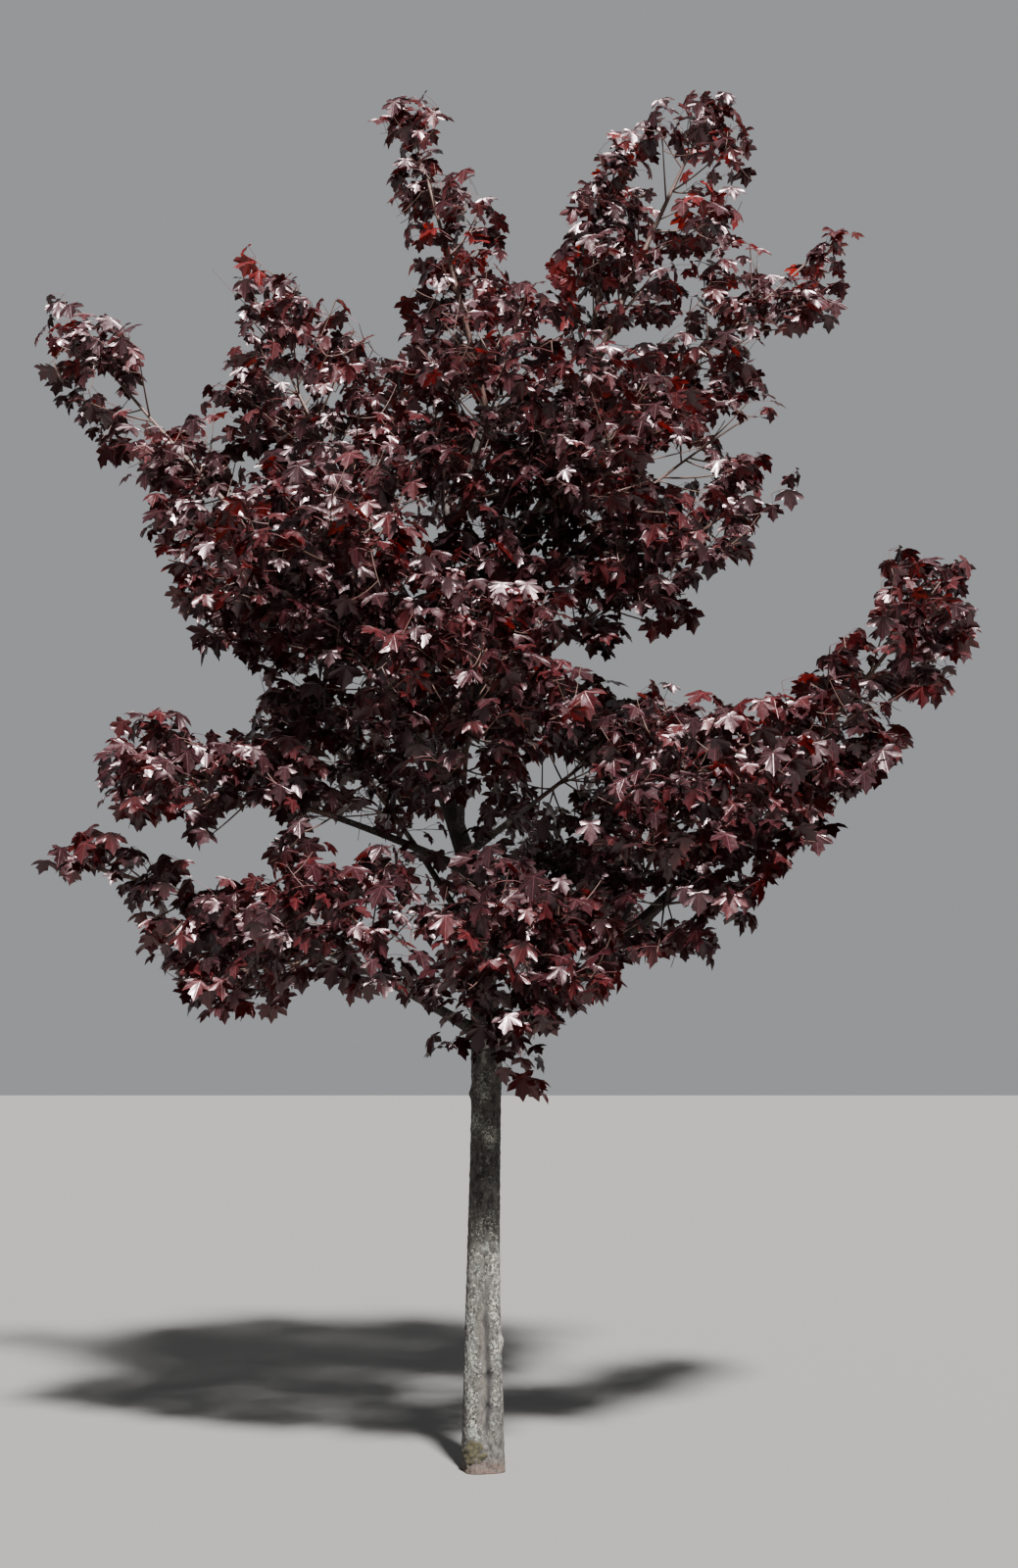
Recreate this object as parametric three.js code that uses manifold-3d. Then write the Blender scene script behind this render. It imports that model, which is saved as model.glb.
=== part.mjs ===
// A young purple-leaved maple: one trunk, its boughs, and its masses of foliage.
// Millimetres, +Z up, +X to the right and +Y away from the viewer. The origin is the middle of the flat
// cut at the ground.
import * as THREE from 'three';
import { mergeVertices } from 'three/addons/utils/BufferGeometryUtils.js';
import Module from 'manifold-3d';

const wasm = await Module();
wasm.setup();

// Driving dimensions of the trunk: height above the ground, sideways shift of its middle, and diameter.
const trunkStations = [
  [0, 0, 169],
  [220, 0, 156],
  [700, 0, 130],
  [1370, 10, 115],
  [1600, 12, 121],
  [1870, -3, 104],
  [2180, -23, 93],
  [2520, -125, 74],
  [2770, -212, 64],
  [3040, -253, 56],
  [3370, -203, 50],
  [3880, -68, 38],
  [4200, 10, 30],
];
const trunkSides = 12;
const trunkRings = 15;
const trunkRingCrowding = 1.25;
const flareLobes = 4;
const flareLobeDepth = 7;
const flareLobeHeight = 260;
const flareLobeTurn = 0.5;

// Limbs: where each leaves its parent (a height on the trunk, a share of the length on a bough), the
// bearing, distance and height of its furthest leaf tip as measured from the foot of the trunk (bearing
// 0 is to the right, 90 away from the viewer), how early it rises, its thickness, the share of it that is
// bare, and how wide and deep its leafy end is. A limb with no bare share is all foliage.
const limbs = [
  { name: 'leader', on: 'trunk', at: 4190, bearing: 190, reach: 370, height: 5600, rise: 0.42,
    thick: 28, bare: 0, wide: 320, deep: 290, sway: -230 },
  { name: 'top_right', on: 'trunk', at: 2620, bearing: -6, reach: 990, height: 5540, rise: 0.62,
    thick: 50, bare: 0.55, wide: 370, deep: 320 },
  { name: 'top_inner', on: 'top_right', at: 0.5, bearing: 10, reach: 580, height: 5470, rise: 0.5,
    thick: 27, bare: 0.15, wide: 380, deep: 300 },
  { name: 'right_shoot', on: 'top_right', at: 0.36, bearing: 0, reach: 1470, height: 4950, rise: 0.5,
    thick: 28, bare: 0.25, wide: 350, deep: 310 },
  { name: 'right_upper', on: 'top_right', at: 0.2, bearing: -4, reach: 1170, height: 4200, rise: 0.62,
    thick: 28, bare: 0.25, wide: 410, deep: 320 },
  { name: 'right_middle', on: 'top_right', at: 0.07, bearing: -20, reach: 1170, height: 3760, rise: 0.6,
    thick: 28, bare: 0.3, wide: 420, deep: 300 },
  { name: 'upper_left', on: 'trunk', at: 3260, bearing: 176, reach: 1000, height: 4780, rise: 0.42,
    thick: 34, bare: 0.3, wide: 430, deep: 420 },
  { name: 'far_left', on: 'trunk', at: 2960, bearing: 180, reach: 1770, height: 4630, rise: 0.45,
    thick: 38, bare: 0.5, wide: 340, deep: 280 },
  { name: 'left_middle', on: 'far_left', at: 0.25, bearing: 187, reach: 1400, height: 3560, rise: 0.6,
    thick: 27, bare: 0.2, wide: 420, deep: 380 },
  { name: 'left_inner', on: 'trunk', at: 2700, bearing: 226, reach: 1060, height: 3800, rise: 0.45,
    thick: 30, bare: 0.28, wide: 470, deep: 430 },
  { name: 'left_shelf', on: 'trunk', at: 2290, bearing: 195, reach: 1560, height: 2680, rise: 0.85,
    thick: 38, bare: 0.36, wide: 460, deep: 300 },
  { name: 'low_left', on: 'trunk', at: 1640, bearing: 188, reach: 1720, height: 2340, rise: 0.75,
    thick: 44, bare: 0.38, wide: 340, deep: 260 },
  { name: 'low_left_under', on: 'low_left', at: 0.36, bearing: 179, reach: 1340, height: 1860, rise: 0.9,
    thick: 26, bare: 0.1, wide: 420, deep: 310 },
  { name: 'low_left_front', on: 'low_left', at: 0.2, bearing: 230, reach: 980, height: 2200, rise: 0.8,
    thick: 27, bare: 0.25, wide: 420, deep: 310 },
  { name: 'front_low', on: 'trunk', at: 1760, bearing: 283, reach: 900, height: 2060, rise: 0.95,
    thick: 28, bare: 0.24, wide: 420, deep: 380 },
  { name: 'low_right', on: 'trunk', at: 1600, bearing: -6, reach: 1910, height: 3550, rise: 0.34,
    thick: 62, bare: 0.6, wide: 420, deep: 330 },
  { name: 'low_right_near', on: 'low_right', at: 0.26, bearing: 320, reach: 1180, height: 2900, rise: 0.5,
    thick: 28, bare: 0.24, wide: 430, deep: 380 },
  { name: 'low_right_under', on: 'low_right', at: 0.36, bearing: 320, reach: 1000, height: 2140, rise: 1.1,
    thick: 26, bare: 0.15, wide: 380, deep: 320 },
  { name: 'low_right_outer', on: 'low_right', at: 0.48, bearing: 344, reach: 1480, height: 2660, rise: 0.9,
    thick: 26, bare: 0.15, wide: 400, deep: 340 },
  { name: 'front_middle', on: 'trunk', at: 2440, bearing: 270, reach: 920, height: 3240, rise: 0.5,
    thick: 32, bare: 0.26, wide: 460, deep: 400 },
  { name: 'front_upper', on: 'trunk', at: 3520, bearing: 285, reach: 740, height: 4500, rise: 0.5,
    thick: 27, bare: 0.22, wide: 400, deep: 380 },
  { name: 'front_right', on: 'top_right', at: 0.28, bearing: 312, reach: 1000, height: 4100, rise: 0.5,
    thick: 28, bare: 0.26, wide: 430, deep: 400 },
  { name: 'back_right_top', on: 'top_right', at: 0.32, bearing: 48, reach: 1060, height: 4500, rise: 0.5,
    thick: 28, bare: 0.28, wide: 400, deep: 380 },
  { name: 'back_top', on: 'trunk', at: 3640, bearing: 108, reach: 860, height: 4680, rise: 0.45,
    thick: 27, bare: 0.26, wide: 390, deep: 380 },
  { name: 'back_left', on: 'trunk', at: 2860, bearing: 140, reach: 1420, height: 3960, rise: 0.5,
    thick: 32, bare: 0.36, wide: 430, deep: 380 },
  { name: 'back_middle', on: 'trunk', at: 2580, bearing: 96, reach: 1350, height: 3520, rise: 0.5,
    thick: 34, bare: 0.36, wide: 430, deep: 380 },
  { name: 'back_right', on: 'trunk', at: 2360, bearing: 58, reach: 1350, height: 3100, rise: 0.5,
    thick: 34, bare: 0.36, wide: 450, deep: 380 },
  { name: 'back_low_left', on: 'trunk', at: 1960, bearing: 138, reach: 1300, height: 3200, rise: 0.7,
    thick: 34, bare: 0.34, wide: 450, deep: 320 },
  { name: 'back_low_right', on: 'trunk', at: 1840, bearing: 66, reach: 1260, height: 2420, rise: 0.75,
    thick: 32, bare: 0.34, wide: 420, deep: 320 },
  { name: 'front_inner', on: 'trunk', at: 3060, bearing: 318, reach: 500, height: 3960, rise: 0.5,
    thick: 27, bare: 0.2, wide: 380, deep: 330 },
];
const boughSides = 6;
const boughRings = 3;
const tipShare = 0.6; // a limb's thickness where its foliage begins, as a share of its thickness at its foot
const clearance = 0.3;

// Foliage: each blade stands for a spray of leaves, on a three-sided twig of its own.
const seed = 7;
const spraySpacing = 268; // between the middles of neighbouring blades
const candidates = 14; // points drawn for each blade's middle, of which the one with most room is kept
const spaceFill = 0.8; // of a mass's space, how much of it the blades' middles take up
const spaceRoundness = 3; // 2 makes a mass's space an ellipsoid, more a rounded box
const spaceShape = 6.5; // the volume of such a space with half sizes of 1
const stemShort = [0.25, 0.65]; // how far a stem ends before its tip, in blade lengths: upright, and level
const leastStem = 0.3; // of a leafy end
const stemRings = 4;
const stemMarks = 40; // the places along a stem that a twig may start from
const stemEndThick = 16;
const twigThick = 8;
const twigTipThick = 6;
const twigSweep = 0.7; // how far back along its stem a twig starts, as a share of its distance from it
const bladeLength = 345;
const bladeSize = [0.85, 1.1]; // of that length
const lobeAhead = 0.34; // where the side lobes' points are, as shares of the length
const lobeAside = 0.54;
const bladeDome = 0.04;
const firstBlade = 0.35; // where the first blade's middle is, from the end of the stem to the limb's tip
const droop = [22, 70]; // degrees below level
const headingSpread = 150; // degrees about the way out of the crown
const mostFold = 0.6; // the greatest cosine of the angle between a twig and a point of its blade
const tries = 14;
const tryShrink = 0.02; // how much smaller each further try is
const crossingFrom = 30; // past this length of its twig a spray counts as crossing what it touches
const mostCrossings = 1; // of a spray with its own stem and the sprays on it
const leastGap = 1; // from a spray to another mass or a limb
const finestEdge = 0.3;

const bark = new THREE.MeshStandardMaterial({ color: '#7d776d', roughness: 0.9, metalness: 0 });
const branchBark = new THREE.MeshStandardMaterial({ color: '#5c4a40', roughness: 0.85, metalness: 0 });
const foliage = new THREE.MeshStandardMaterial({ color: '#4a1c24', roughness: 0.45, metalness: 0 });

const up = new THREE.Vector3(0, 0, 1);

// Numbers from 0 to 1 that come out the same on every run.
function seeded(start) {
  let state = start >>> 0;
  return () => {
    state = (state + 0x6d2b79f5) >>> 0;
    let mixed = Math.imul(state ^ (state >>> 15), state | 1);
    mixed ^= mixed + Math.imul(mixed ^ (mixed >>> 7), mixed | 61);
    return ((mixed ^ (mixed >>> 14)) >>> 0) / 4294967296;
  };
}

// A column of the trunk's table at a height, on a smooth curve through its rows.
function trunkValue(height, column) {
  const last = trunkStations.length - 1;
  let row = 0;
  while (row < last - 1 && height > trunkStations[row + 1][0]) row += 1;
  const from = trunkStations[row];
  const to = trunkStations[row + 1];
  const before = trunkStations[Math.max(row - 1, 0)];
  const after = trunkStations[Math.min(row + 2, last)];
  const span = to[0] - from[0];
  const slopeFrom = ((to[column] - before[column]) / (to[0] - before[0])) * span;
  const slopeTo = ((after[column] - from[column]) / (after[0] - from[0])) * span;
  const s = THREE.MathUtils.clamp((height - from[0]) / span, 0, 1);
  return (
    (2 * s ** 3 - 3 * s ** 2 + 1) * from[column] +
    (s ** 3 - 2 * s ** 2 + s) * slopeFrom +
    (3 * s ** 2 - 2 * s ** 3) * to[column] +
    (s ** 3 - s ** 2) * slopeTo
  );
}

function trunkMiddle(height) {
  return new THREE.Vector3(trunkValue(height, 1), 0, height);
}

// A three.js geometry as a solid.
function solidOf(geometry) {
  const bare = new THREE.BufferGeometry();
  bare.setAttribute('position', geometry.getAttribute('position'));
  bare.setIndex(geometry.index);
  const merged = mergeVertices(bare, 1e-3);
  return new wasm.Manifold(
    new wasm.Mesh({
      numProp: 3,
      vertProperties: merged.getAttribute('position').array,
      triVerts: new Uint32Array(merged.index.array),
    }),
  );
}

function meshOf(name, solid, material) {
  const { vertProperties, triVerts } = solid.getMesh();
  const geometry = new THREE.BufferGeometry();
  geometry.setAttribute('position', new THREE.BufferAttribute(vertProperties, 3));
  geometry.setIndex(new THREE.BufferAttribute(triVerts, 1));
  geometry.computeVertexNormals();
  const mesh = new THREE.Mesh(geometry, material);
  mesh.name = name;
  return mesh;
}

// A unit cylinder along Z whose points are moved to where pointAt(share of the length, x, y) puts them.
function bentTube(sides, rings, pointAt, endsInPoint = false) {
  const tube = new THREE.CylinderGeometry(endsInPoint ? 0 : 1, 1, 1, sides, rings);
  tube.rotateX(Math.PI / 2).rotateZ(Math.PI).translate(0, 0, 0.5);
  const places = tube.getAttribute('position');
  for (let i = 0; i < places.count; i += 1) {
    const moved = pointAt(places.getZ(i), places.getX(i), places.getY(i));
    places.setXYZ(i, moved.x, moved.y, moved.z);
  }
  return solidOf(tube);
}

// The trunk, or the trunk grown by a clearance all round and at its top.
function trunkSolid(extra) {
  const height = trunkStations[trunkStations.length - 1][0];
  return bentTube(trunkSides, trunkRings, (share, x, y) => {
    const z = (height + extra) * share ** trunkRingCrowding;
    const turn = Math.atan2(y, x);
    const lobe = flareLobeDepth * Math.cos(flareLobes * (turn + flareLobeTurn));
    const radius = trunkValue(z, 2) / 2 + extra + lobe * Math.exp(-z / flareLobeHeight);
    return trunkMiddle(z).add(new THREE.Vector3(x * radius, y * radius, 0));
  });
}

// A limb's curve from the middle of its parent to its furthest tip, and what is measured along it. Its
// tube runs straight from ring to ring, and so does the middle line that its own twigs and limbs leave.
function limbOn(parent, row) {
  const bearing = THREE.MathUtils.degToRad(row.bearing);
  const start = parent.middle(row.at);
  const tip = new THREE.Vector3(Math.cos(bearing) * row.reach, Math.sin(bearing) * row.reach, row.height);
  const aside = tip.clone().sub(start).cross(up).normalize();
  const knee = start.clone().lerp(tip, 0.5).addScaledVector(aside, row.sway ?? 0);
  knee.z = start.z + (tip.z - start.z) * row.rise;
  const curve = new THREE.QuadraticBezierCurve3(start, knee, tip);
  const endTangent = curve.getTangent(1);
  const short = bladeLength * (stemShort[0] + stemShort[1] * Math.hypot(endTangent.x, endTangent.y));
  const end = Math.max(1 - short / curve.getLength(), row.bare + leastStem * (1 - row.bare));
  const frame = (t) => {
    const tangent = curve.getTangent(t);
    const upper = new THREE.Vector3().crossVectors(aside, tangent).normalize();
    return { tangent, upper, level: new THREE.Vector3().crossVectors(upper, tangent) };
  };
  const middle = (t) => {
    const [from, to, rings] = t < row.bare ? [0, row.bare, boughRings] : [row.bare, end, stemRings];
    const place = ((t - from) / (to - from)) * rings;
    const ring = THREE.MathUtils.clamp(Math.floor(place), 0, rings - 1);
    const [near, far] = [ring, ring + 1].map((k) => curve.getPoint(from + ((to - from) * k) / rings));
    return near.lerp(far, place - ring);
  };
  return { row, curve, end, frame, middle };
}

// A tapering tube along a limb between two shares of it.
function limbTube(limb, from, to, radiusFrom, radiusTo, sides, rings, startGap = 0) {
  return bentTube(sides, rings, (share, x, y) => {
    const t = from + (to - from) * share;
    const { tangent, level, upper } = limb.frame(t);
    const radius = radiusFrom + (radiusTo - radiusFrom) * share;
    return limb.curve
      .getPoint(t)
      .addScaledVector(tangent, share === 0 ? startGap : 0)
      .addScaledVector(level, x * radius)
      .addScaledVector(upper, y * radius);
  });
}

// The space of a limb's foliage: a rounded box round the leafy end, with its middle, its half sizes, and
// a measure that is 0 in its middle and 1 at its bounds.
function spaceOf({ row, curve }) {
  const start = curve.getPoint(row.bare);
  const tip = curve.getPoint(1);
  const along = tip.clone().sub(start).normalize();
  const level = new THREE.Vector3().crossVectors(up, along).normalize();
  const upper = new THREE.Vector3().crossVectors(along, level);
  const half = Math.max(start.distanceTo(tip) / 2, row.deep);
  const middle = start.lerp(tip, 0.5);
  const axes = [along.multiplyScalar(half), level.multiplyScalar(row.wide), upper.multiplyScalar(row.deep)];
  const measure = (point) => {
    const offset = point.clone().sub(middle);
    const parts = axes.map((axis) => Math.abs(offset.dot(axis) / axis.lengthSq()) ** spaceRoundness);
    return (parts[0] + parts[1] + parts[2]) ** (1 / spaceRoundness);
  };
  return { middle, axes, measure, volume: spaceShape * half * row.wide * row.deep };
}

// A level heading turned down by some degrees, and the direction in which a blade along it faces.
function hanging(heading, fall) {
  const out = heading.clone().setZ(0).normalize();
  const pitch = THREE.MathUtils.degToRad(fall);
  const face = out.clone().multiplyScalar(Math.sin(pitch)).addScaledVector(up, Math.cos(pitch));
  return { ahead: out.multiplyScalar(Math.cos(pitch)).addScaledVector(up, -Math.sin(pitch)), face };
}

// A twig that ends in a blade with three points, as one three-sided tube that widens and closes in a point,
// and how far the blade folds back over its own twig: 1 where a point of it lies along the twig.
function spraySolid({ foot, root, heading, fall, size }) {
  const direction = root.clone().sub(foot).normalize();
  const { ahead, face } = hanging(heading, fall);
  const aside = new THREE.Vector3().crossVectors(face, ahead);
  const bend = new THREE.Quaternion().setFromUnitVectors(ahead, direction);
  const halfBend = new THREE.Quaternion().slerp(bend, 0.5);
  const sections = [
    { middle: foot, radius: twigThick / 2, turned: bend },
    { middle: root, radius: twigTipThick / 2, turned: halfBend },
    { ahead: lobeAhead, aside: lobeAside, dome: bladeDome },
    { ahead: 1, aside: 0, dome: 0 },
  ];
  const last = sections.length - 1;
  const rim = [];
  const pointAt = (share, x, y) => {
    const section = sections[Math.round(share * last)];
    if (section.middle) {
      const { middle, radius, turned } = section;
      const offset = aside.clone().multiplyScalar(x * radius).addScaledVector(face, y * radius);
      return offset.applyQuaternion(turned).add(middle);
    }
    const ridge = Math.abs(x) < 0.1;
    const point = root
      .clone()
      .addScaledVector(ahead, section.ahead * size)
      .addScaledVector(aside, ridge ? 0 : Math.sign(x) * section.aside * size)
      .addScaledVector(face, ridge ? section.dome * size : 0);
    rim.push(point);
    return point;
  };
  const solid = bentTube(3, last, pointAt, true);
  const fold = Math.max(...rim.map((point) => -point.clone().sub(root).normalize().dot(direction)));
  return { solid, rim, fold };
}

// Whether two solids keep the least gap.
function clear(solid, other) {
  const [box, boxOfOther] = [solid.boundingBox(), other.boundingBox()];
  const before = (one, two) => [0, 1, 2].some((k) => one.max[k] + leastGap < two.min[k]);
  return before(box, boxOfOther) || before(boxOfOther, box) || solid.minGap(other, leastGap) >= leastGap;
}

// Points spread evenly through a space, each the one of several drawn that has most room.
function spreadPoints(space, random) {
  const count = Math.round(space.volume / spraySpacing ** 3);
  const points = [];
  const draw = () => {
    const point = space.middle.clone();
    for (const axis of space.axes) point.addScaledVector(axis, (2 * random() - 1) * spaceFill);
    return point;
  };
  const room = (point) => Math.min(...points.map((other) => other.distanceTo(point)));
  while (points.length < count) {
    const drawn = Array.from({ length: candidates }, draw);
    const inside = drawn.filter((point) => space.measure(point) < spaceFill);
    if (inside.length) points.push(inside.reduce((best, point) => (room(point) > room(best) ? point : best)));
  }
  return points;
}

// Grows a limb's foliage: a blade at each point of its space, on a twig from the nearest part of the stem.
// Each is drawn several times, and the draw that fits and crosses the fewest others is kept.
function growFoliage(limb, stem, space, random, fits) {
  const { bare } = limb.row;
  const marks = Array.from({ length: stemMarks + 1 }, (_, k) =>
    limb.middle(bare + ((limb.end - bare) * k) / stemMarks),
  );
  const step = marks[0].distanceTo(marks[1]);
  const between = ([low, high]) => low + (high - low) * random();
  const draw = (point, shrink) => {
    const size = bladeLength * between(bladeSize) * shrink;
    const swing = THREE.MathUtils.degToRad(headingSpread) * (random() - 0.5);
    const heading = point.clone().setZ(0).applyAxisAngle(up, swing);
    const fall = between(droop);
    const root = point.clone().addScaledVector(hanging(heading, fall).ahead, -lobeAhead * size);
    const gaps = marks.map((mark) => mark.distanceTo(root));
    const nearest = gaps.indexOf(Math.min(...gaps));
    const back = Math.round((twigSweep * gaps[nearest]) / step);
    const foot = marks[THREE.MathUtils.clamp(nearest - back, 1, stemMarks - 1)];
    return { foot, root, heading, fall, size };
  };
  const grown = [];
  const crossings = (spray) => {
    const past = Math.min(crossingFrom / spray.foot.distanceTo(spray.root), 0.5);
    const outer = spraySolid({ ...spray, foot: spray.foot.clone().lerp(spray.root, past) }).solid;
    return [stem, ...grown].filter((other) => !clear(outer, other)).length;
  };
  const first = marks[stemMarks].clone().lerp(limb.curve.getPoint(1), firstBlade);
  for (const point of [first, ...spreadPoints(space, random)]) {
    let best = { crossed: mostCrossings + 1 };
    for (let n = 0; n < tries && best.crossed > 0; n += 1) {
      const spray = draw(point, 1 - n * tryShrink);
      const made = spraySolid(spray);
      if (made.fold < mostFold && fits(made, spray.root.clone().lerp(point, 0.5))) {
        const crossed = crossings(spray);
        if (crossed < best.crossed) best = { solid: made.solid, crossed };
      }
    }
    if (best.solid) grown.push(best.solid);
  }
  return grown;
}

// The largest body of a union, with sealed hollows filled, loose scraps dropped and hair-fine edges closed.
function wholeBody(pieces) {
  const bodies = wasm.Manifold.union(pieces).simplify(finestEdge).decompose();
  return bodies.reduce((best, body) => (body.volume() > best.volume() ? body : best));
}

const tree = new THREE.Group();
const solids = [];

function addNode(name, solid, material) {
  solids.push(solid);
  tree.add(meshOf(name, solid, material));
}

const parents = new Map([['trunk', { middle: trunkMiddle, grown: trunkSolid(clearance) }]]);
addNode('trunk', trunkSolid(0), bark);
for (const row of limbs) {
  const parent = parents.get(row.on);
  const limb = limbOn(parent, row);
  parents.set(row.name, limb);
  if (row.bare > 0) {
    const footRadius = row.thick / 2;
    const tube = (extra) =>
      limbTube(limb, 0, row.bare, footRadius + extra, footRadius * tipShare + extra, boughSides, boughRings);
    limb.grown = tube(clearance);
    addNode(`bough_${row.name}`, wholeBody([tube(0).subtract(parent.grown)]), branchBark);
  }
}

const leafy = limbs.map((row) => parents.get(row.name));
const spaces = leafy.map(spaceOf);
const stems = leafy.map((limb) => {
  const { bare, thick } = limb.row;
  const onBough = bare > 0;
  const startRadius = (thick * (onBough ? tipShare : 1)) / 2;
  const startGap = onBough ? clearance : 0;
  const stem = limbTube(limb, bare, limb.end, startRadius, stemEndThick / 2, 3, stemRings, startGap);
  return onBough ? stem : stem.subtract(parents.get('trunk').grown);
});
leafy.forEach((limb, index) => {
  const own = spaces[index];
  const others = [...solids, ...stems.filter((stem) => stem !== stems[index])];
  const fits = ({ solid, rim }, middle) =>
    rim.every((point) => own.measure(point) <= 1) &&
    spaces.every((space) => space.measure(middle) >= own.measure(middle)) &&
    others.every((other) => clear(solid, other));
  const sprays = growFoliage(limb, stems[index], own, seeded(seed + index), fits);
  addNode(`foliage_${limb.row.name}`, wholeBody([stems[index], ...sprays]), foliage);
});

export default tree;
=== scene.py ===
# A young purple-leaved Norway maple: trunk and boughs with bark in relief, then stems, twigs, leaf stalks
# and leaves grown on from the limbs by the rule that the solids follow. Lengths in the tables are in
# millimetres, and everything that is built is in metres, +Z up, +X right and +Y away from the viewer.
from functools import partial
from math import cos, exp, hypot, pi, radians, remainder, sin

import bpy
import numpy as np
from mathutils import Matrix, Vector, noise
from numpy.linalg import norm


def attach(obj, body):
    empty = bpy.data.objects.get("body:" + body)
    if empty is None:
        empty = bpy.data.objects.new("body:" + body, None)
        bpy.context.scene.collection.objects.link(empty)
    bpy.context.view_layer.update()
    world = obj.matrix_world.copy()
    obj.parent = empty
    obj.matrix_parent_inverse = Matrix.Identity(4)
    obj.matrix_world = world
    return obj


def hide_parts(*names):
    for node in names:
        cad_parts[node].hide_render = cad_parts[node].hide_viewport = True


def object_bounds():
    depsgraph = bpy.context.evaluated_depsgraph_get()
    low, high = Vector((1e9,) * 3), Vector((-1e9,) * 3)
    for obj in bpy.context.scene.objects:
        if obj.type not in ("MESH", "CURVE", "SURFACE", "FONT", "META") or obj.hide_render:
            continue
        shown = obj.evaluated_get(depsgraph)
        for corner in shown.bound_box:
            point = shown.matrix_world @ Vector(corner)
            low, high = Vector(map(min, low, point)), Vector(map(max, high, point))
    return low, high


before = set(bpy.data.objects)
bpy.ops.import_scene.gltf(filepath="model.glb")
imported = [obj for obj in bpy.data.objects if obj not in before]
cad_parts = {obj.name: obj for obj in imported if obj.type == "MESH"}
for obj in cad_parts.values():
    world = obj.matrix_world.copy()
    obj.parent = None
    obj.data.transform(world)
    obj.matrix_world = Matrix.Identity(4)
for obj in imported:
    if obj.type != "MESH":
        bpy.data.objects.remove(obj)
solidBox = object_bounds()
print("frame loaded, box", [round(c, 3) for corner in solidBox for c in corner])

mm = 0.001
upward = np.array([0.0, 0.0, 1.0])

view = {
    "place": (0.10, -7.84, 1.60),  # eye height, in front of the tree
    "tiltUp": 7.6,  # degrees
    "lens": 45.4,
    "sensor": 36.0,
}
cameraData = bpy.data.cameras.new("viewer")
cameraData.lens = view["lens"]
cameraData.sensor_width = view["sensor"]
camera = bpy.data.objects.new("viewer", cameraData)
camera.location = view["place"]
camera.rotation_euler = (radians(90 + view["tiltUp"]), 0, 0)
bpy.context.scene.collection.objects.link(camera)
bpy.context.scene.camera = camera


# An sRGB hex value as a linear colour.
def linearColour(hexValue):
    channels = [int(hexValue[i : i + 2], 16) / 255 for i in (1, 3, 5)]
    return (*[c / 12.92 if c <= 0.04045 else ((c + 0.055) / 1.055) ** 2.4 for c in channels], 1.0)


# Adds a node with its settings and links, and gives its outputs.
def addNode(tree, kind, inputs=(), **settings):
    made = tree.nodes.new(kind)
    for name, value in settings.items():
        setattr(made, name, value)
    for key, value in dict(inputs).items():
        if isinstance(value, bpy.types.NodeSocket):
            tree.links.new(value, made.inputs[key])
        else:
            made.inputs[key].default_value = value
    return made.outputs


def newMesh(name, corners, edges=(), faces=()):
    mesh = bpy.data.meshes.new(name)
    mesh.from_pydata(corners, edges, faces)
    return mesh


def addObject(name, data):
    made = bpy.data.objects.new(name, data)
    bpy.context.scene.collection.objects.link(made)
    return made


def setAttribute(mesh, name, kind, values):
    field = "vector" if kind == "FLOAT_VECTOR" else "value"
    values = np.array(values, np.int32 if kind == "INT" else np.float32).ravel()
    mesh.attributes.new(name, kind, "POINT").data.foreach_set(field, values)


def unit(vector):
    return vector / max(norm(vector), 1e-12)


def between(low, high, share):
    return low + (high - low) * share


def smoothStep(low, high, value):
    share = np.clip((value - low) / (high - low), 0, 1)
    return share * share * (3 - 2 * share)


# Numbers from 0 to 1 that come out as they do in the part's source.
def seededRandom(start):
    state = start & 0xFFFFFFFF

    def draw():
        nonlocal state
        state = (state + 0x6D2B79F5) & 0xFFFFFFFF
        mixed = ((state ^ (state >> 15)) * (state | 1)) & 0xFFFFFFFF
        mixed ^= (mixed + (mixed ^ (mixed >> 7)) * (mixed | 61)) & 0xFFFFFFFF
        return (mixed ^ (mixed >> 14)) / 4294967296

    return draw


# The trunk: height, sideways shift of its middle, and diameter.
trunkStations = [
    (0, 0, 169),
    (220, 0, 156),
    (700, 0, 130),
    (1370, 10, 115),
    (1600, 12, 121),
    (1870, -3, 104),
    (2180, -23, 93),
    (2520, -125, 74),
    (2770, -212, 64),
    (3040, -253, 56),
    (3370, -203, 50),
    (3880, -68, 38),
    (4200, 10, 30),
]

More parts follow.
